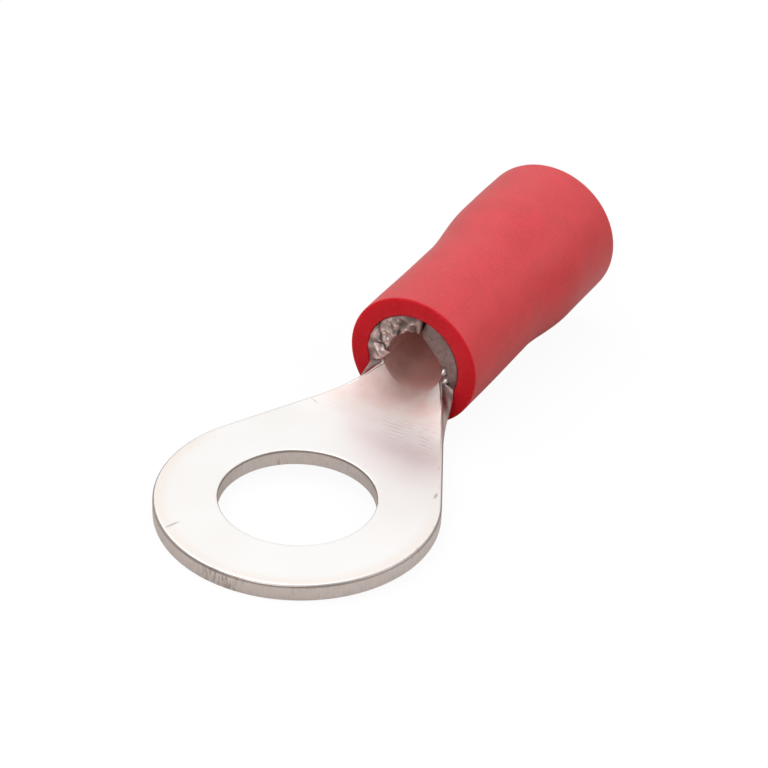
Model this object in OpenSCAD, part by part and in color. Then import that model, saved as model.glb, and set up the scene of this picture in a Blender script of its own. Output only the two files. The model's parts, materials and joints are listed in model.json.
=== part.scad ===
// Insulated ring terminal: a one-piece tinned copper tongue and wire barrel in a flared PVC sleeve.
// The origin is the centre of the stud hole on the tongue's underside, +Z is up through the hole and
// +Y runs along the barrel towards the wire entry. Millimetres throughout.

/* [Ring] */
// Thickness of the copper sheet
sheet_t = 0.6; // [0.5:0.05:0.75]
// Diameter of the stud hole
stud_hole_d = 5.3; // [4.3:0.1:5.8]
// Width of the ring across the stud hole
ring_w = 9.6; // [9:0.1:11]
// Radius that blanking leaves on the upper edges of the sheet
die_roll = 0.1; // [0.06:0.01:0.14]

/* [Neck] */
// Angle of each tapering side to the centre line
taper_angle = 27.5; // [22:0.5:32]
// Narrowest width of the neck, measured along the sheet
neck_w = 3.5; // [3.1:0.1:3.8]
// Softness of the bend where the taper runs out into the neck
neck_blend = 0.15; // [0.1:0.05:0.4]
// Length of flat sheet between the ring's edge and the place where the neck starts to curl up
flat_len = 0.1; // [0.1:0.05:0.6]
// How late the curl comes on the way to the barrel: a higher power keeps the neck flat for longer
curl_power = 3.2; // [2.4:0.1:4.5]
// Length of the shoulders that rise from the neck to the barrel's front end
shoulder_len = 0.5; // [0.4:0.1:1]
// Angle round the barrel, from its lowest line, at which each shoulder meets it
shoulder_angle = 72; // [70:1:100]

/* [Barrel] */
// Distance from the stud hole's centre to the barrel's front end
barrel_y = 7.8; // [7.2:0.1:9]
// Inside diameter of the wire barrel
barrel_id = 2.35; // [1.9:0.05:2.6]
// Length of the wire barrel
barrel_len = 5.5; // [4.5:0.1:6.5]
// Depth of the barrel's underside below the tongue's underside
barrel_drop = 0.18; // [0:0.02:0.3]
// Angle from the top at which the rolled sheet's two edges meet
seam_angle = 12.5; // [0:0.5:25]
// Width of the open butt seam
seam_gap = 0.12; // [0.06:0.02:0.3]
// Chamfer inside the barrel's rear mouth
mouth_chamfer = 0.15; // [0.05:0.05:0.3]

/* [Sleeve] */
// Length of the insulating sleeve
sleeve_len = 10.8; // [10:0.1:12]
// Outside diameter of the sleeve over the barrel
sleeve_d = 4.95; // [4.75:0.05:5.2]
// Outside diameter of the flared wire entry
flare_d = 5.5; // [5.3:0.05:6]
// Inside diameter of the flared wire entry
entry_id = 4.2; // [4:0.05:4.4]
// Distance from the sleeve's front end to the start of the flare
flare_start = 4.9; // [3.5:0.1:5.5]
// Length over which the sleeve widens
flare_len = 3; // [2:0.1:3.8]
// Edge radius of the sleeve's front end
front_round = 0.1; // [0.05:0.01:0.2]
// Edge radius of the sleeve's rear end
rear_round = 0.25; // [0.1:0.05:0.3]
// Radial clearance between the barrel and the sleeve
sleeve_fit = 0.02; // [0.01:0.01:0.05]

/* [Hidden] */
copper_tin = [0.82, 0.80, 0.78];
pvc_red = [0.78, 0.16, 0.18];

round_fn = 96;
arc_steps = 6;              // segments in an edge radius
flare_steps = 14;           // segments along the flare
across_steps = 12;          // segments across the sheet
along_steps = 24;           // sections along the curling length
run_out = 1;                // length by which a cutter clears what it cuts
flat_curvature = 0.0001;    // below this curvature a section is drawn flat
shoulder_power = 2.5;       // how sharply a shoulder turns out at its end
weld = 0.02;                // the neck's ends lie this far inside what they join
weld_len = 0.15;            // and reach this far into it

ring_r = ring_w / 2;
barrel_ri = barrel_id / 2;
barrel_ro = barrel_ri + sheet_t;
barrel_rm = barrel_ri + sheet_t / 2;
axis_z = barrel_ro - barrel_drop;
curl_y = ring_r + flat_len;
sleeve_y = barrel_y;        // the sleeve's front end is flush with the barrel's

// Points of a quarter circle of radius r round c, from angle a to angle b
function quarter(c, r, a, b) =
    [for (i = [0:arc_steps]) let (k = a + (b - a) * i / arc_steps) c + r * [cos(k), sin(k)]];

// The share u kept between 0 and 1, and the same eased so that both ends are level
function share(u) = min(max(u, 0), 1);
function ease(u) = let (v = share(u)) v * v * (3 - 2 * v);

// ---- Neck and trough: a flat sheet that narrows, then curls up into the barrel ----

// Half width of the straight taper that leaves the ring at a tangent
function taper_half(y) = (ring_r - weld - y * sin(taper_angle)) / cos(taper_angle);

// Half width of the flat neck: the taper, run out softly into neck_w
function neck_half(y) =
    neck_w / 2 + neck_blend * ln(1 + exp((taper_half(y) - neck_w / 2) / neck_blend));

// Half width of the sheet along its curve, with the shoulders that turn out to the barrel
function sheet_half(y) =
    let (u = share(1 - (barrel_y - y) / shoulder_len),
         end_half = barrel_rm * shoulder_angle * PI / 180)
    neck_half(y) + (end_half - neck_half(y)) * pow(u, shoulder_power);

// Share of the way from the start of the curl to the barrel at y
function along_curl(y) = share((y - curl_y) / (barrel_y - curl_y));

// Curvature of the sheet's middle surface, and the height of its lowest line
function curvature(y) = pow(along_curl(y), curl_power) / barrel_rm;
function trough_z(y) = sheet_t / 2 - barrel_drop * ease(along_curl(y));

// Half the sheet's thickness: towards the barrel it thins by weld, so that the neck enters its wall
function half_t(y) = sheet_t / 2 - weld * share(1 - (barrel_y - y) / shoulder_len);

// A point s along the curled sheet, out from its middle surface by off (outwards is down)
function sheet_point(y, s, off) =
    let (k = curvature(y))
    k < flat_curvature ? [s, y, trough_z(y) - off]
                       : let (r = 1 / k, a = s * k * 180 / PI)
                         [(r + off) * sin(a), y, trough_z(y) + r - (r + off) * cos(a)];

// The upper side of the sheet across a section, from left to right: [distance along, height] pairs
// with a rolled edge at each end
function upper_side(y) =
    let (h = sheet_half(y),
         o = half_t(y),
         edge = quarter([h - die_roll, o - die_roll], die_roll, 0, 90))
    concat(
        [for (p = edge) [-p[0], p[1]]],
        [for (i = [1:across_steps - 1]) [(h - die_roll) * (2 * i / across_steps - 1), o]],
        [for (i = [arc_steps:-1:0]) edge[i]]);

// One closed section of the sheet: the underside from left to right, then the upper side back
function sheet_section(y) =
    let (upper = upper_side(y), n = len(upper))
    concat([for (p = upper) sheet_point(y, p[0], half_t(y))],
           [for (i = [n - 1:-1:0]) sheet_point(y, upper[i][0], -upper[i][1])]);

// The solid through a row of closed sections, each with its far side listed back over its near side
module loft(sections) {
    n = len(sections[0]);
    last = (len(sections) - 1) * n;
    polyhedron(
        points = [for (s = sections) each s],
        faces = concat(
            [for (j = [0:n / 2 - 2]) each [[j, n - 2 - j, j + 1], [j, n - 1 - j, n - 2 - j]]],
            [for (j = [0:n / 2 - 2]) each [[last + j, last + j + 1, last + n - 2 - j],
                                           [last + j, last + n - 2 - j, last + n - 1 - j]]],
            [for (k = [0:n:last - n], i = [0:n - 1])
                let (a = k + i, b = k + (i + 1) % n) each [[a, b, a + n], [b, b + n, a + n]]]));
}

// From the tangent points on the ring, flat past the ring's edge, and then curling up into the
// barrel's wall. No section lies in the barrel's front plane, so the two solids cross cleanly there.
module neck() {
    reach = barrel_y + weld_len - curl_y;
    loft(concat(
        [sheet_section((ring_r - weld) * sin(taper_angle))],
        [for (i = [0:along_steps]) sheet_section(curl_y + reach * i / along_steps)]));
}

// ---- Ring, barrel and the whole terminal ----

module ring() {
    rotate_extrude($fn = round_fn)
        polygon(concat([[0, 0], [ring_r, 0]],
                       quarter([ring_r - die_roll, sheet_t - die_roll], die_roll, 0, 90),
                       [[0, sheet_t]]));
}

// The punched hole: a true bore with the blanking radius round its upper edge
module stud_hole() {
    hole_r = stud_hole_d / 2;
    rotate_extrude($fn = round_fn)
        polygon(concat([[0, -run_out], [hole_r, -run_out]],
                       quarter([hole_r + die_roll / 2, sheet_t - die_roll / 2], die_roll / 2, 180, 90),
                       [[hole_r + die_roll / 2, sheet_t + run_out], [0, sheet_t + run_out]]));
}

// The rolled barrel: an open butt seam near the top and a chamfered mouth for the strands
module barrel() {
    translate([0, barrel_y, axis_z]) rotate([-90, 0, 0]) difference() {
        cylinder(r = barrel_ro, h = barrel_len, $fn = round_fn);
        translate([0, 0, -run_out]) cylinder(r = barrel_ri, h = barrel_len + 2 * run_out, $fn = round_fn);
        translate([0, 0, barrel_len - mouth_chamfer])
            cylinder(r1 = barrel_ri, r2 = barrel_ri + 2 * mouth_chamfer, h = 2 * mouth_chamfer,
                     $fn = round_fn);
        rotate([0, 0, seam_angle]) translate([-seam_gap / 2, -barrel_ro - run_out, -run_out])
            cube([seam_gap, barrel_ro + run_out, barrel_len + 2 * run_out]);
    }
}

module terminal() {
    color(copper_tin) difference() {
        union() {
            ring();
            neck();
            barrel();
        }
        stud_hole();
    }
}

// ---- Sleeve: a tube pressed over the barrel and widened at the wire entry ----

module sleeve() {
    seat_r = barrel_ro + sleeve_fit;
    front_r = sleeve_d / 2;
    flare_r = flare_d / 2;
    entry_r = entry_id / 2;
    inside = [for (i = [0:flare_steps]) let (u = i / flare_steps)
        [seat_r + (entry_r - seat_r) * ease(u), flare_start + flare_len * u]];
    outside = [for (i = [0:flare_steps]) let (u = 1 - i / flare_steps)
        [front_r + (flare_r - front_r) * ease(u), flare_start + flare_len * u]];
    color(pvc_red) translate([0, sleeve_y, axis_z]) rotate([-90, 0, 0]) rotate_extrude($fn = round_fn)
        polygon(concat(
            quarter([seat_r + front_round / 2, front_round / 2], front_round / 2, 270, 180),
            inside,
            quarter([entry_r + rear_round / 2, sleeve_len - rear_round / 2], rear_round / 2, 180, 90),
            quarter([flare_r - rear_round, sleeve_len - rear_round], rear_round, 90, 0),
            outside,
            quarter([front_r - front_round, front_round], front_round, 0, -90)));
}

terminal();
sleeve();
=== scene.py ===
import json
import math

import bmesh
import bpy
import numpy as np
from mathutils import Matrix, Vector


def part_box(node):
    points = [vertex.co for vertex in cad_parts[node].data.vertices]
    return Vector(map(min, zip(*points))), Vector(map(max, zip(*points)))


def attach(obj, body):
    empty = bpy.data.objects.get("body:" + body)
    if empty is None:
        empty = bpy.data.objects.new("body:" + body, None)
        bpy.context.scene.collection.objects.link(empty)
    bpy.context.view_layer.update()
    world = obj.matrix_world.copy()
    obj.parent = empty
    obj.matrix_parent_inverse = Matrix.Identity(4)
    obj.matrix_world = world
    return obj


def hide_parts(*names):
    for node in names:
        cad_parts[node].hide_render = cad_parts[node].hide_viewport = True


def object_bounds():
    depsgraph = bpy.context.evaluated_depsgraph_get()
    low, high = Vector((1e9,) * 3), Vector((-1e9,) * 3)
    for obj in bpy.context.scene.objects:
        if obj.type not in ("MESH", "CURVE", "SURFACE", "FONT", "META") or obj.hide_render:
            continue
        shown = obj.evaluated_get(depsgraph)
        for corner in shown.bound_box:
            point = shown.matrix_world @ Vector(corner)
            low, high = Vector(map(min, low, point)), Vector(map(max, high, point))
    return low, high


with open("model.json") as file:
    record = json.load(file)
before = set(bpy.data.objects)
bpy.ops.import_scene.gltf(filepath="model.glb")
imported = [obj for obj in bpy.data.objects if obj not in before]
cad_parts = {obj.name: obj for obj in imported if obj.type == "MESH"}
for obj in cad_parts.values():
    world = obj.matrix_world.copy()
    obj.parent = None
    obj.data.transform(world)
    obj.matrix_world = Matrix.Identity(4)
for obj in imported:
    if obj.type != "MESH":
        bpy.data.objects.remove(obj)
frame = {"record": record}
cad_low, cad_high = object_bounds()

# --------------------------------------------------------------------------------------------------
# Terminal: one blank of thin copper sheet, tin plated. It is punched out flat, then the neck is
# curled into a trough and the wide end rolled into the wire barrel, whose edges meet in an open butt
# seam near the top. Every point is laid out on the flat blank first, and then formed.
# --------------------------------------------------------------------------------------------------
MM = 0.001
mounts = {m["name"]: m for m in frame["record"]["mounts"]}
terminal_low, terminal_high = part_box("terminal")
sleeve_low, sleeve_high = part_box("sleeve")

sheet_t = mounts["ring_top"]["pos_m"][2]
hole_r = mounts["stud_hole"]["dims"]["r_mm"] * MM
ring_r = -terminal_low.y
bore_r = mounts["wire_barrel"]["dims"]["r_mm"] * MM
axis_z = mounts["wire_barrel"]["pos_m"][2]
barrel_front = sleeve_low.y
barrel_rear = terminal_high.y
middle_r = bore_r + sheet_t / 2
barrel_drop = bore_r + sheet_t - axis_z

taper_angle = math.radians(27.5)
neck_half = 1.75 * MM
neck_blend = 0.15 * MM
curl_front = ring_r + 0.1 * MM
curl_power = 3.2
shoulder_len = 0.5 * MM
shoulder_s = math.radians(72) * middle_r
seam_angle = math.radians(12.5)
seam_gap = 0.12 * MM
die_roll = 0.1 * MM
hole_roll = 0.05 * MM
burr_round = 0.03 * MM
join_y = 4.2 * MM               # where the mesh of the ring meets that of the neck
lip_corner = 0.15 * MM          # how far in from the barrel blank's edges the even rows end
chord_middle = math.radians(130)
chord_half = math.radians(35)
lip_fade = 0.45 * MM            # depth behind the front end at which the lips' marks fall to 1/e
relief_unit = 0.055 * MM        # how far a relief of 1 moves the lips' front face
least_curvature = 1e-3          # in 1/m, and as good as flat
merge_distance = 1e-6           # border points nearer than this, in metres, are one

# Single burrs and creases on the lips' front face: angle from the lowest line in degrees (right
# positive), depth off the sheet's middle in millimetres, half widths of the two, and height.
lip_marks = [
    (-91, 0.14, 7, 0.10, 2.6),
    (-100, 0.08, 4, 0.20, -2.6),
    (-78, 0.10, 4, 0.14, 2.0),
    (91, 0.21, 6, 0.09, 3.0),
    (77, 0.08, 4, 0.08, 3.0),
]


def eased(u):
    """Rises from 0 to 1 with level ends: 3u^2 - 2u^3 on the clamped share."""
    u = np.clip(u, 0, 1)
    return u * u * (3 - 2 * u)


def lip_growth(turn):
    """Thickness that the forming die has left inside the barrel's front end, at an angle turn from
    its lowest line (right positive). The right lip is pressed flat, along a chord of the bore between
    95 and 165 degrees; the left one is heaped up unevenly, most of all low down."""
    off_chord = np.clip(np.abs(turn - chord_middle), 0, chord_half)
    pressed = bore_r * (1 - math.cos(chord_half) / np.cos(off_chord))
    left = np.degrees(-turn)
    heap = np.interp(left, [74, 88, 100, 150, 188], [0, 0.24, 0.24, 0.13, 0.0]) * MM
    lumps = 0.5 * np.sin(left / 4.1) + 0.35 * np.sin(left / 2.3 + 1) + 0.25 * np.sin(left / 1.4 + 2)
    return pressed + heap * (1 + 0.14 * lumps)


def lip_relief(turn, w):
    """The lips' front face, above 0 where it stands proud of the barrel's end and below 0 where it is
    torn back. The left lip is crumpled: crossed waves over the angle and the depth, that die out
    towards the seam, the neck and the outside. The single burrs and creases of lip_marks, on both
    lips, are added as bell curves."""
    left = np.degrees(-turn)
    shown = eased((left - 66) / 12) * eased((190 - left) / 14) * eased(0.95 + w / sheet_t)
    deep = w / MM
    swirl = 1.3 * np.sin(left / 9.0 + 6 * deep)
    waves = np.sin(left / 6.5 + 7 * deep + swirl) + 0.7 * np.sin(left / 4.1 - 11 * deep - swirl + 1.7)
    relief = (waves + 0.25 * np.sin(left / 2.1 + 19 * deep)) * shown
    for angle, depth, wide, thick, height in lip_marks:
        relief = relief + height * np.exp(-((left + angle) / wide) ** 2 - ((deep - depth) / thick) ** 2)
    return relief


def form_sheet(s, y, w):
    """Bends the flat blank. Across a section at y the middle surface is an arc of curvature k(y),
    which is 0 on the tongue and grows late, as a power of the share of the way, to 1 / middle_r at the
    barrel; s is the distance along that arc from its lowest line, and w the height off the middle
    surface, towards the arc's centre."""
    turn = s / middle_r
    at_front = np.exp(-np.clip(y - barrel_front, 0, None) / lip_fade) * (y >= barrel_front)
    inner = np.clip(0.5 + w / sheet_t, 0, 1)
    w = w + lip_growth(turn) * inner * at_front
    share = np.clip((y - curl_front) / (barrel_front - curl_front), 0, 1)
    k = np.maximum(share ** curl_power / middle_r, least_curvature)
    low = sheet_t / 2 - barrel_drop * eased(share)
    x = (1 / k - w) * np.sin(k * s)
    z = low + (1 - np.cos(k * s)) / k + w * np.cos(k * s)
    return np.stack([x, y - relief_unit * lip_relief(turn, w) * at_front, z], axis=-1)


def neck_outline(taper_rows, fillet_rows):
    """The blank's right edge from join_y to the barrel's front line: a straight taper that leaves the
    ring at a tangent, runs out softly into the neck, and turns out along a quarter ellipse to the
    shoulder. Returns the points (s, y) and the unit normals into the sheet."""
    turn = np.linspace(0, np.pi / 2, fillet_rows)
    start = barrel_front - shoulder_len
    y = np.concatenate([np.linspace(join_y, start, taper_rows)[:-1], start + shoulder_len * np.sin(turn)])
    turn = np.concatenate([np.zeros(taper_rows - 1), turn])
    straight = (ring_r - y * np.sin(taper_angle)) / np.cos(taper_angle)
    half = neck_half + neck_blend * np.log1p(np.exp((straight - neck_half) / neck_blend))
    points = np.stack([half + (shoulder_s - half[-1]) * (1 - np.cos(turn)), y], axis=-1)
    along = np.gradient(points, axis=0)
    along[-1] = [1, 0]
    along /= np.linalg.norm(along, axis=1)[:, None]
    return points, np.stack([-along[:, 1], along[:, 0]], axis=-1)


def ring_outline(corner, count):
    """The blank's edge round the ring, from the left neck corner by the front to the right one: the
    point on each ray from the hole's centre lies on the ring's circle or, past the tangent points, on
    the straight tapers, at ring_r / cos(angle past the tangent point)."""
    left = math.atan2(corner[1], -corner[0])
    angle = np.linspace(left, 3 * np.pi - left, count)
    side = np.sign(angle - 1.5 * np.pi)
    past = np.maximum(np.abs(angle - 1.5 * np.pi) - (np.pi / 2 + taper_angle), 0)
    facing = angle - side * past
    reach = ring_r / np.cos(past)
    points = np.stack([np.cos(angle), np.sin(angle)], axis=-1) * reach[:, None]
    return points, -np.stack([np.cos(facing), np.sin(facing)], axis=-1)


def edge_band(points, inward, upper_round, rows=10):
    """The cut edge carried along an outline: from the upper face round a quarter circle of
    upper_round, straight down the cut wall, and round burr_round to the lower face. Returns the blank
    coordinates (s, y, w) as grids of outline points by profile points."""
    turn = np.linspace(0, np.pi / 2, rows)
    upper_w = sheet_t / 2 - upper_round * (1 - np.cos(turn))
    lower_w = burr_round * (1 - np.sin(turn)) - sheet_t / 2
    wall_w = np.linspace(upper_w[-1], lower_w[0], rows)[1:-1]
    w = np.concatenate([upper_w, wall_w, lower_w])
    inset = np.concatenate([upper_round * (1 - np.sin(turn)), 0 * wall_w, burr_round * (1 - np.cos(turn))])
    plan = points[:, None, :] + inward[:, None, :] * inset[None, :, None]
    return plan[..., 0], plan[..., 1], w[None, :] + 0 * plan[..., 0]


def grid_faces(rows, columns):
    """Quads of a grid of rows by columns points, numbered row by row."""
    first = (np.arange(rows - 1)[:, None] * columns + np.arange(columns - 1)[None, :]).ravel()
    return np.stack([first, first + 1, first + columns + 1, first + columns], axis=-1)


def joined_mesh(name, patches):
    """One closed mesh from grids whose borders meet. Each patch is (points, run): run holds two
    distances in millimetres along the surface, and what the finish needs to know of cut surfaces. Each
    pair is kept as a UV map."""
    points, quads, runs, count = [], [], [], 0
    for grid, run in patches:
        faces = grid_faces(*grid.shape[:2])
        points.append(grid.reshape(-1, 3))
        runs.append(run.reshape(-1, run.shape[-1])[faces.ravel()])
        quads.append(faces + count)
        count += points[-1].shape[0]
    mesh = bpy.data.meshes.new(name)
    mesh.from_pydata(np.concatenate(points).tolist(), [], np.concatenate(quads).tolist())
    run = np.concatenate(runs)
    for layer, columns in (("run", run[:, :2]), ("cut", run[:, 2:4])):
        mesh.uv_layers.new(name=layer).data.foreach_set("uv", np.ascontiguousarray(columns).ravel())
    solid = bmesh.new()
    solid.from_mesh(mesh)
    bmesh.ops.remove_doubles(solid, verts=solid.verts, dist=merge_distance)
    bmesh.ops.recalc_face_normals(solid, faces=solid.faces)
    open_edges = sum(1 for e in solid.edges if len(e.link_faces) != 2)
    if open_edges:
        print(name, "has", open_edges, "open edges")
    solid.to_mesh(mesh)
    solid.free()
    mesh.shade_smooth()
    piece = bpy.data.objects.new(name, mesh)
    bpy.context.scene.collection.objects.link(piece)
    return piece


def face_patch(s, y, side):
    """A patch of the sheet's upper (side 1) or lower (side -1) face over blank coordinates."""
    run = np.stack([s / MM, y / MM, 0 * s, side + 0 * s], axis=-1)
    return form_sheet(s, y, side * sheet_t / 2 + 0 * s), run


def band_patch(points, inward, upper_round):
    """The formed edge band along an outline; run is the distance along it, the depth, a 1 for a cut
    surface and the lips' relief."""
    s, y, w = edge_band(points, inward, upper_round)
    step = np.linalg.norm(np.diff(points, axis=0), axis=1)
    length = np.concatenate([[0], np.cumsum(step)])[:, None] / MM
    run = np.stack([length + 0 * s, w / MM, 1 + 0 * s, lip_relief(s / middle_r, w)], axis=-1)
    return form_sheet(s, y, w), run


# the outline, counter-clockwise from the left neck corner
neck_points, neck_in = neck_outline(taper_rows=80, fillet_rows=24)
mirror = np.array([-1, 1])
seam_right = (np.pi - seam_angle) * middle_r - seam_gap / 2
seam_left = (np.pi + seam_angle) * middle_r - seam_gap / 2
lip_right = np.append(np.linspace(shoulder_s, seam_right - lip_corner, num=60), seam_right)
lip_left = -np.append(np.linspace(shoulder_s, seam_left - lip_corner, num=150), seam_left)
across = np.linspace(-1, 1, num=49)
barrel_rows = np.linspace(barrel_front + lip_corner, barrel_rear - lip_corner, num=60)
ring_points, ring_in = ring_outline(neck_points[0], count=300)


def side_line(s, y, inward):
    """Outline points on a straight stretch of the barrel's blank, all with one inward direction."""
    s, y = np.broadcast_arrays(np.asarray(s, float), np.asarray(y, float))
    return np.stack([s, y], axis=-1), np.broadcast_to(np.array(inward, float), s.shape + (2,))


rear_s = np.concatenate([lip_right[-2:0:-1], across[::-1] * shoulder_s, lip_left[1:-1]])
stretches = [
    (ring_points[:-1], ring_in[:-1]),
    (neck_points, neck_in),
    side_line(lip_right[1:-1], barrel_front, (0, 1)),
    side_line([seam_right], barrel_front, (-1, 1)),
    side_line(seam_right, barrel_rows, (-1, 0)),
    side_line([seam_right], barrel_rear, (-1, -1)),
    side_line(rear_s, barrel_rear, (0, -1)),
    side_line([-seam_left], barrel_rear, (1, -1)),
    side_line(-seam_left, barrel_rows[::-1], (1, 0)),
    side_line([-seam_left], barrel_front, (1, 1)),
    side_line(lip_left[-2:0:-1], barrel_front, (0, 1)),
    (neck_points[::-1] * mirror, neck_in[::-1] * mirror),
]
outline = np.concatenate([points for points, _ in stretches])
outline_in = np.concatenate([inward for _, inward in stretches])
patches = [band_patch(outline, outline_in, die_roll)]

join_row = np.stack([across[::-1] * neck_points[0, 0], join_y + 0 * across], axis=-1)
spoke = np.concatenate([ring_points, join_row[1:]])
spoke /= np.linalg.norm(spoke, axis=1)[:, None]
for side, inset, hole_inset in ((1, die_roll, hole_roll), (-1, burr_round, burr_round)):
    # neck and trough: rows across the sheet, each at the height of its inset edge points
    edge = neck_points + neck_in * inset
    neck_s = across[None, :] * edge[:, :1]
    neck_y = edge[:, 1:] + 0 * neck_s
    patches.append(face_patch(neck_s, neck_y, side))
    # barrel: the neck's last row carried on between the lips, then back to the rear end
    barrel_s = np.concatenate([[inset - seam_left], lip_left[-2:0:-1], across * shoulder_s,
                               lip_right[1:-1], [seam_right - inset]])
    rows = np.concatenate([[barrel_front + inset], barrel_rows, [barrel_rear - inset]])
    patches.append(face_patch(*np.meshgrid(barrel_s, rows), side))
    # ring: straight lines from the hole's edge to the outline and the neck's first row
    ring_edge = ring_points + ring_in * inset
    chord = np.stack([neck_s[0, ::-1], neck_y[0, ::-1]], axis=-1)[1:]
    rim = np.concatenate([ring_edge, chord])
    share = np.linspace(0, 1, num=16)[None, :, None]
    disc = (hole_r + hole_inset) * spoke[:, None, :] * (1 - share) + rim[:, None, :] * share
    patches.append(face_patch(disc[..., 0], disc[..., 1], side))
patches.append(band_patch(hole_r * spoke, spoke, hole_roll))
terminal = joined_mesh("terminal_sheet", patches)


class Shade:
    """A shader socket that takes part in Python arithmetic. Each operator adds one Math node, and
    node() adds any other."""

    def __init__(self, tree, socket=None):
        self.tree, self.socket = tree, socket

    def node(self, kind, settings=None, inputs=None, out=0):
        """Adds a node: settings first (stops are a ramp's), then its inputs by name or number."""
        made = self.tree.nodes.new(kind)
        for key, value in (settings or {}).items():
            if key == "stops":
                ramp = made.color_ramp.elements
                while len(ramp) < len(value):
                    ramp.new(0.5)
                for stop, (place, colour) in zip(ramp, value):
                    stop.position, stop.color = place, (*colour, 1)
            else:
                setattr(made, key, value)
        for key, value in (inputs or {}).items():
            if isinstance(value, Shade):
                self.tree.links.new(value.socket, made.inputs[key])
            else:
                made.inputs[key].default_value = value
        return Shade(self.tree, made.outputs[out])

    def maths(self, operation, a, b=0.0):
        return self.node("ShaderNodeMath", {"operation": operation}, {0: a, 1: b})

    def __add__(self, other):
        return self.maths("ADD", self, other)

    def __sub__(self, other):
        return self.maths("SUBTRACT", self, other)

    def __rsub__(self, other):
        return self.maths("SUBTRACT", other, self)

    def __mul__(self, other):
        return self.maths("MULTIPLY", self, other)

    __radd__, __rmul__ = __add__, __mul__

    def ramp(self, low, high):
        """0 below low, 1 above high, with an eased rise between them."""
        return self.node("ShaderNodeMapRange", {"interpolation_type": "SMOOTHSTEP"},
                         {"Value": self, "From Min": low, "From Max": high})

    def noise(self, vector, scale, detail=2.0, roughness=0.5, distortion=0.0):
        return self.node("ShaderNodeTexNoise", {}, {"Vector": vector, "Scale": scale, "Detail": detail,
                                                    "Roughness": roughness, "Distortion": distortion})

    def stretched(self, vector, scale):
        return self.node("ShaderNodeVectorMath", {"operation": "MULTIPLY"}, {0: vector, 1: scale})

    def part(self, axis):
        """One component of a vector."""
        return self.node("ShaderNodeSeparateXYZ", {}, {0: self}, out=axis)

    def length(self):
        """The length of a vector."""
        return self.node("ShaderNodeVectorMath", {"operation": "LENGTH"}, {0: self}, out="Value")

    def place_in_mm(self):
        """The place on the piece, in millimetres from the part's origin."""
        place = self.node("ShaderNodeTexCoord", {}, out="Object")
        return self.node("ShaderNodeVectorMath", {"operation": "SCALE"}, {0: place, "Scale": 1 / MM})

    def blend(self, factor, a, b):
        """The colour a where factor is 0, and b where it is 1. The node's sockets 6 and 7 are the two
        colours, and its output 2 is the mixed one."""
        first, second = (c if isinstance(c, Shade) else (*c, 1) for c in (a, b))
        inputs = {0: factor, 6: first, 7: second}
        return self.node("ShaderNodeMix", {"data_type": "RGBA"}, inputs, out=2)


def new_finish(name, constants, varying):
    """A material of one Principled shader: constants are set on its sockets, and varying(shade) gives
    the ones that change over the surface."""
    material = bpy.data.materials.new(name)
    material.use_nodes = True
    tree = material.node_tree
    shader = tree.nodes["Principled BSDF"]
    for key, value in constants.items():
        shader.inputs[key].default_value = value
    for key, value in varying(Shade(tree)).items():
        tree.links.new(value.socket, shader.inputs[key])
    return material


def smudge(shade, place, centre, turn, size):
    """A soft mark on the sheet, 1 inside and 0 outside: an ellipse of half lengths size round centre,
    turned by turn degrees, all in millimetres on the blank."""
    moved = shade.node("ShaderNodeVectorMath", {"operation": "SUBTRACT"}, {0: place, 1: (*centre, 0)})
    turned = shade.node("ShaderNodeVectorRotate", {"rotation_type": "Z_AXIS"},
                        {"Vector": moved, "Angle": -math.radians(turn)})
    off_centre = shade.stretched(turned, (1 / size[0], 1 / size[1], 0)).length()
    return 1 - off_centre.ramp(0.4, 1.2)


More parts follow.
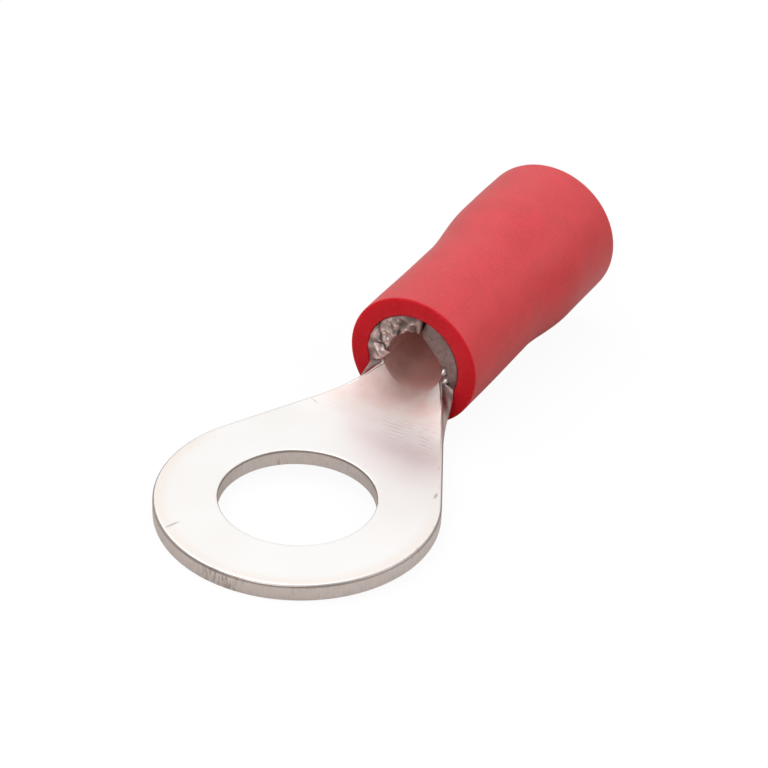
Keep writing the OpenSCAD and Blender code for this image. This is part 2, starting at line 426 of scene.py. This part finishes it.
def tin_plate(shade):
    """Bright tin over copper: level rolling lines along the sheet, fine handling scratches, forming
    ripples across the neck, a painted warm reflection on the front of the ring's rim with a painted
    shade line along the top of the cut wall under it, streaked cut edges, a painted pink reflection of
    the sleeve over the formed neck, painted reddish shade and reflection deepening into the trough and
    the barrel's bore, darker to the left in the bore, a painted highlight on the trough's right side,
    and painted dark shade, with lighter painted highlights on burrs and heaps, on the lips where the
    forming die has squeezed its end."""
    run = shade.node("ShaderNodeUVMap", {"uv_map": "run"})
    depth = run.part("Y")
    edge = shade.node("ShaderNodeUVMap", {"uv_map": "cut"})
    cut = edge.part("X")
    face = 1 - cut
    relief = edge.part("Y")
    place = shade.place_in_mm()
    across = place.part("X")
    along = place.part("Y")
    reach = shade.stretched(place, (1, 1, 0)).length()

    # textures, with scales per millimetre
    cloud = shade.noise(place, 0.35, 3.0)
    blotch = shade.noise(place, 1.6, 4.0, 0.6)
    grain = shade.noise(shade.stretched(run, (14, 1.2, 1)), 1.0, 3.0)
    scratch = shade.noise(shade.stretched(run, (0.8, 9, 1)), 1.6, 4.0, 0.7, 0.8).ramp(0.62, 0.72)
    ripple = shade.maths("SINE", along * 29 + shade.noise(place, 0.9, 2.0) * 14).ramp(0.1, 1.0)
    crumple = shade.noise(place, 6.5, 4.0, 0.65, 0.4)
    torn = shade.noise(shade.stretched(run, (6, 1.4, 1)), 1.5, 3.0, 0.7)
    streak = shade.noise(shade.stretched(run, (2.4, 0.5, 1)), 2.0, 3.0, 0.6).ramp(0.58, 0.70)
    pits = shade.noise(place, 5.0, 2.0).ramp(0.70, 0.78)

    # places, in millimetres across, along or through the sheet, or out from the hole's centre
    # where painted reflections and shade of the sleeve and barrel fall on the neck, trough and bore
    formed = along.ramp(4.4, 6.8) * face
    trough_end = along.ramp(5.6, 7.4) * face
    inside = along.ramp(7.4, 8.4) * face
    # a painted highlight on the trough's right side by the barrel, also made a little smoother
    highlight_spot = smudge(shade, place, (1.10, 7.55), 20, (0.30, 0.42)) * face
    rippled = smudge(shade, place, (1.7, 5.15), -8, (1.9, 0.85)) * blotch.ramp(0.42, 0.58) * face
    on_left = 1 - across.ramp(-0.9, 0.4)
    lips = cut * (1 - along.ramp(9.0, 10.0)) * along.ramp(6.70, 7.30)
    # the front of the ring's rim, where a warm reflection is painted
    rim = face * reach.ramp(4.15, 4.75) * (1 - along.ramp(0.5, 2.5))
    # a painted shade line along the top of the cut wall, under the rolled rim
    edge_shade_line = cut * depth.ramp(0.17, 0.23) * (1 - depth.ramp(0.280, 0.298)) * (1 - lips)
    burrs = cut * (1 - across.ramp(0.2, 0.9)) * across.ramp(-1.3, -0.1) * (1 - along.ramp(-4.6, -4.2))
    marks = (smudge(shade, place, (-2.66, -3.52), 68, (0.34, 0.05))
             + smudge(shade, place, (3.86, 2.48), 100, (0.20, 0.07)) * blotch.ramp(0.35, 0.55)
             + smudge(shade, place, (-2.35, 5.15), -28, (0.22, 0.03)) * 0.6
             + smudge(shade, place, (3.45, 3.7), 115, (0.9, 0.16)) * blotch.ramp(0.50, 0.62)) * face

    height = grain * 0.05 + scratch * -0.10 + cloud * 0.4 + ripple * rippled * 0.35 + pits * -0.2
    height = (height + marks * -0.6) * face + torn * cut * 0.8 + crumple * lips * (0.4 + on_left * 0.5)
    colour = shade.blend(cloud.ramp(0.3, 0.7), (0.925, 0.905, 0.890), (0.945, 0.935, 0.925))
    colour = shade.blend(scratch * 0.15 + pits * 0.3, colour, (0.66, 0.60, 0.58))
    # painted warm reflection on the front of the rim
    colour = shade.blend(rim * 0.55, colour, (0.90, 0.79, 0.71))
    # painted pink reflection of the sleeve over the formed neck
    colour = shade.blend(formed * (0.35 + blotch.ramp(0.4, 0.6) * 0.35), colour, (0.93, 0.80, 0.76))
    colour = shade.blend(ripple * rippled * 0.38, colour, (0.66, 0.52, 0.50))
    # painted reddish shade and reflection of the sleeve, deepening into the trough
    colour = shade.blend(trough_end * (0.45 + blotch.ramp(0.35, 0.65) * 0.25), colour, (0.80, 0.58, 0.54))
    # painted shade in the barrel's bore, darker to the left, with a painted red glow of the sleeve to the
    # right
    bore_shade_and_glow = shade.blend(across.ramp(-0.8, -0.1), (0.70, 0.52, 0.48), (0.98, 0.64, 0.60))
    colour = shade.blend(inside * (0.65 + blotch.ramp(0.40, 0.60) * 0.35), colour, bore_shade_and_glow)
    # painted highlight on the trough's right side
    colour = shade.blend(highlight_spot * 0.9, colour, (0.97, 0.94, 0.92))
    colour = shade.blend(cut * torn.ramp(0.3, 0.7) * 0.30, colour, (0.76, 0.67, 0.61))
    streaks = streak * 0.35 + burrs * torn.ramp(0.45, 0.60) * 0.6
    colour = shade.blend(cut * streaks, colour, (0.40, 0.33, 0.31))
    # painted shade line under the rim, and the darker nicks
    colour = shade.blend(edge_shade_line * 0.75 + marks * 0.55, colour, (0.34, 0.28, 0.26))
    # painted shade on the right lip's front face, with lighter painted highlights on its burrs
    right_lip_shading = shade.blend(crumple.ramp(0.25, 0.75), (0.11, 0.058, 0.053), (0.22, 0.13, 0.12))
    right_lip_shading = shade.blend(relief.ramp(0.5, 1.8), right_lip_shading, (0.80, 0.72, 0.70))
    # the left lip: painted shade in its crevices and lighter painted highlights on its heaps
    heaped = (relief + crumple * 1.2).ramp(-0.8, 1.9)
    crumpled = shade.blend(heaped, (0.09, 0.048, 0.043), (0.64, 0.49, 0.46))
    # painted shade and highlights over both lips
    colour = shade.blend(lips * 0.92, colour, shade.blend(on_left, right_lip_shading, crumpled))
    bump = shade.node("ShaderNodeBump", {}, {"Strength": 0.3, "Distance": 0.02 * MM, "Height": height})
    rough = cloud * 0.10 + scratch * 0.10 + cut * 0.05 + along.ramp(3.8, 6.2) * face * 0.34
    return {"Base Color": colour, "Normal": bump, "Roughness": rough - highlight_spot * 0.15 + 0.30}


terminal.data.materials.append(new_finish("tinned_copper", {"Metallic": 1.0}, tin_plate))
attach(terminal, "root")
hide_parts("terminal")

# --------------------------------------------------------------------------------------------------
# Sleeve: a length of soft red PVC tube, pushed over the barrel until it is flush with its front end.
# Its rear half is expanded to take the wire's insulation. It is matt and very slightly translucent.
# --------------------------------------------------------------------------------------------------
sleeve_len = sleeve_high.y - sleeve_low.y
flare_r = (sleeve_high.z - sleeve_low.z) / 2
front_r = 2.475 * MM
entry_r = mounts["insulation_entry"]["dims"]["r_mm"] * MM
sleeve_fit = 0.02 * MM
seat_r = bore_r + sheet_t + sleeve_fit
flare_start = 4.9 * MM
flare_len = 3.0 * MM
front_round = 0.1 * MM
rear_round = 0.25 * MM
wave_fade = 1.5                 # millimetres over which the waves die out at each end


def corner(r, y, radius, start, end, steps=8):
    """Points of a quarter circle of the profile round (r, y), from angle start to end in degrees."""
    turn = np.radians(np.linspace(start, end, steps))
    return np.stack([r + radius * np.cos(turn), y + radius * np.sin(turn)], axis=-1)


def flared(count, y_from, y_to, narrow, wide):
    """A wall of the tube from y_from to y_to whose radius eases from narrow to wide over the flare."""
    y = np.linspace(y_from, y_to, count)
    return np.stack([narrow + (wide - narrow) * eased((y - flare_start) / flare_len), y], axis=-1)


bead = front_round / 2
mouth = rear_round / 2
profile = np.concatenate([
    corner(seat_r + bead, bead, bead, 270, 180),
    flared(60, bead, sleeve_len - mouth, seat_r, entry_r)[1:-1],
    corner(entry_r + mouth, sleeve_len - mouth, mouth, 180, 90),
    corner(flare_r - rear_round, sleeve_len - rear_round, rear_round, 90, 0),
    flared(110, sleeve_len - rear_round, front_round, front_r, flare_r)[1:-1],
    corner(front_r - front_round, front_round, front_round, 0, -90),
])
profile = np.concatenate([profile, profile[:1]])
around = np.linspace(0, 2 * np.pi, num=161)


def tube_surface(profile, around):
    """The profile (radius, distance from the front end) turned about the barrel's axis. The tube is
    a little out of round: low waves in angle and length change its radius by under a hundredth."""
    r, y = profile[:, 0, None], profile[:, 1, None] / MM
    turn = around[None, :]
    wave = (0.004 * np.sin(2 * turn + 0.5 * y) + 0.003 * np.sin(3 * turn - 0.7 * y + 1)
            + 0.002 * np.sin(5 * turn + 1.3 * y))
    r = r * (1 + wave * eased(y / wave_fade) * eased((sleeve_len / MM - y) / wave_fade))
    none = 0 * y + 0 * turn
    points = np.stack([r * np.sin(turn), sleeve_low.y + y * MM + none, axis_z - r * np.cos(turn)], axis=-1)
    run = np.stack([turn * front_r / MM + none, y + none, none, none], axis=-1)
    return points, run


sleeve = joined_mesh("insulating_sleeve", [tube_surface(profile, around)])


def red_pvc(shade):
    """Soft matt PVC: cloudy red, with fine drawn lines along the tube, a faint bloom and a few dust
    specks. Only the drawn skin is hazy: the cut front end is not."""
    place = shade.place_in_mm()
    along = place.part("Y")
    cloud = shade.noise(place, 0.9, 4.0, 0.6)
    fine = shade.noise(place, 14.0, 3.0, 0.6)
    drawn = shade.noise(shade.stretched(place, (5, 0.35, 5)), 1.0, 2.0)
    speck = shade.noise(place, 6.0, 1.0).ramp(0.74, 0.80)
    colour = shade.blend(cloud.ramp(0.3, 0.7), (0.52, 0.004, 0.010), (0.60, 0.008, 0.018))
    colour = shade.blend(fine.ramp(0.40, 0.60) * 0.28, colour, (0.76, 0.03, 0.045))
    colour = shade.blend(speck * 0.3, colour, (0.70, 0.20, 0.20))
    height = cloud * 1.0 + fine * 0.45 + drawn * 0.35
    bump = shade.node("ShaderNodeBump", {}, {"Strength": 0.35, "Distance": 0.03 * MM, "Height": height})
    skin = along.ramp(barrel_front / MM + 0.02, barrel_front / MM + 0.10)
    return {"Base Color": colour, "Roughness": cloud * 0.12 + 0.42, "Normal": bump, "Coat Weight": skin}


sleeve.data.materials.append(new_finish("sleeve_plastic", {
    "IOR": 1.53, "Specular IOR Level": 0.12, "Coat Roughness": 0.5, "Coat IOR": 1.58, "Sheen Weight": 0.03,
    "Subsurface Weight": 0.25, "Subsurface Radius": (1.0, 0.12, 0.10), "Subsurface Scale": 0.6 * MM,
}, red_pvc))
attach(sleeve, "root")
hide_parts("sleeve")

# --------------------------------------------------------------------------------------------------
# Table: a plain white sweep. The terminal lies on it at the ring's front edge and the lower edge of
# the sleeve's front end, so in the part's own frame the table slopes down towards the wire entry.
# --------------------------------------------------------------------------------------------------
table_half = 3.0                # metres
table_gap = 0.02 * MM
slope = float(np.arctan2(profile[:, 0] - axis_z, profile[:, 1] + sleeve_low.y + ring_r).max())
lean = Matrix.Rotation(-slope, 4, "X")
table_mesh = bpy.data.meshes.new("table")
corners = [lean @ Vector((x * table_half, y * table_half, 0)) + Vector((0, -ring_r, 0))
           for x, y in ((-1, -1), (1, -1), (1, 1), (-1, 1))]
for c in corners:
    c.z -= table_gap
table_mesh.from_pydata(corners, [], [(0, 1, 2, 3)])
table = bpy.data.objects.new("table", table_mesh)
bpy.context.scene.collection.objects.link(table)
table_finish = bpy.data.materials.new("table_white")
table_finish.use_nodes = True
table_tree = table_finish.node_tree
table_tree.nodes.remove(table_tree.nodes["Principled BSDF"])
paper = Shade(table_tree)
seen = paper.node("ShaderNodeLightPath", {}, {}, "Is Camera Ray")
matt = paper.node("ShaderNodeBsdfDiffuse", {}, {"Color": (0.46, 0.41, 0.385, 1)})
white = paper.node("ShaderNodeEmission", {}, {"Color": (1, 1, 1, 1), "Strength": 1.0})
dim = paper.node("ShaderNodeBsdfDiffuse", {}, {"Color": (0.9, 0.9, 0.9, 1)})
lit = paper.node("ShaderNodeMixShader", {}, {0: 0.94, 1: dim, 2: white})
shown = paper.node("ShaderNodeMixShader", {}, {0: seen, 1: matt, 2: lit})
table_tree.links.new(shown.socket, table_tree.nodes["Material Output"].inputs["Surface"])
table.data.materials.append(table_finish)

# --------------------------------------------------------------------------------------------------
# Studio: a soft dome, white above, behind and to the left and dim in front, and three soft boxes. The
# camera is a long lens in front of the ring, to its right, looking down along the barrel.
# --------------------------------------------------------------------------------------------------
world = bpy.data.worlds.new("studio")
bpy.context.scene.world = world
world.use_nodes = True
sky = Shade(world.node_tree)
place = sky.node("ShaderNodeTexCoord", {}, out="Generated")
up = place.part("Z")
behind = place.part("Y")
aside = place.part("X")
dome = sky.node("ShaderNodeValToRGB", {"stops": [(0.0, (0.10, 0.085, 0.08)), (0.5, (0.30, 0.27, 0.255)),
                                                 (0.72, (0.99, 0.985, 0.975)), (1.0, (1.0, 1.0, 1.0))]},
                {0: up * 0.5 + 0.5})
dome = sky.blend(behind.ramp(-0.9, 0.3), (0.16, 0.145, 0.14), dome)
dome = sky.blend((1 - aside.ramp(-0.95, -0.45)) * 0.7, dome, (0.92, 0.90, 0.89))
seen = sky.node("ShaderNodeLightPath", {}, {}, "Is Camera Ray")
colour = sky.blend(seen, dome, (1.0, 1.0, 1.0))
world.node_tree.links.new(colour.socket, world.node_tree.nodes["Background"].inputs["Color"])
middle = (Vector(cad_low) + Vector(cad_high)) / 2


def towards(azimuth, elevation):
    """The unit vector from the terminal to a place round it: azimuth 0 is in front of the ring, and a
    quarter turn is to its right. Both angles are in radians."""
    return Vector((math.sin(azimuth) * math.cos(elevation),
                   -math.cos(azimuth) * math.cos(elevation), math.sin(elevation)))


def soft_box(name, azimuth, elevation, distance, size, power):
    """A square area lamp aimed at the terminal's middle, with its angles in degrees."""
    back = towards(math.radians(azimuth), math.radians(elevation))
    lamp = bpy.data.lights.new(name, "AREA")
    lamp.shape, lamp.size, lamp.energy = "SQUARE", size, power
    holder = bpy.data.objects.new(name, lamp)
    holder.location = middle + back * distance
    holder.rotation_euler = back.to_track_quat("Z", "Y").to_euler()
    bpy.context.scene.collection.objects.link(holder)


soft_box("key_box", -90, 68, 0.30, 0.20, 0.25)
soft_box("side_box", 105, 30, 0.35, 0.25, 0.17)
soft_box("front_box", 5, 42, 0.35, 0.20, 0.42)

view_azimuth, view_elevation, view_roll = (math.radians(a) for a in (27.63, 33.94, 2.845))
view_distance = 99.0 * MM
view_centre = Vector((-1.047, 7.763, 0.292)) * MM
back = towards(view_azimuth, view_elevation)
level = Vector((math.cos(view_azimuth), math.sin(view_azimuth), 0))
rise = back.cross(level)
right = level * math.cos(view_roll) + rise * math.sin(view_roll)
upward = rise * math.cos(view_roll) - level * math.sin(view_roll)
lens = bpy.data.cameras.new("camera")
lens.lens, lens.sensor_width = 131.3, 36.0
lens.clip_start, lens.clip_end = 1 * MM, 100.0
camera = bpy.data.objects.new("camera", lens)
axes = Matrix((right, upward, back)).transposed().to_4x4()
camera.matrix_world = Matrix.Translation(view_centre + back * view_distance) @ axes
bpy.context.scene.collection.objects.link(camera)
bpy.context.scene.camera = camera
bpy.context.scene.view_settings.view_transform = "Standard"
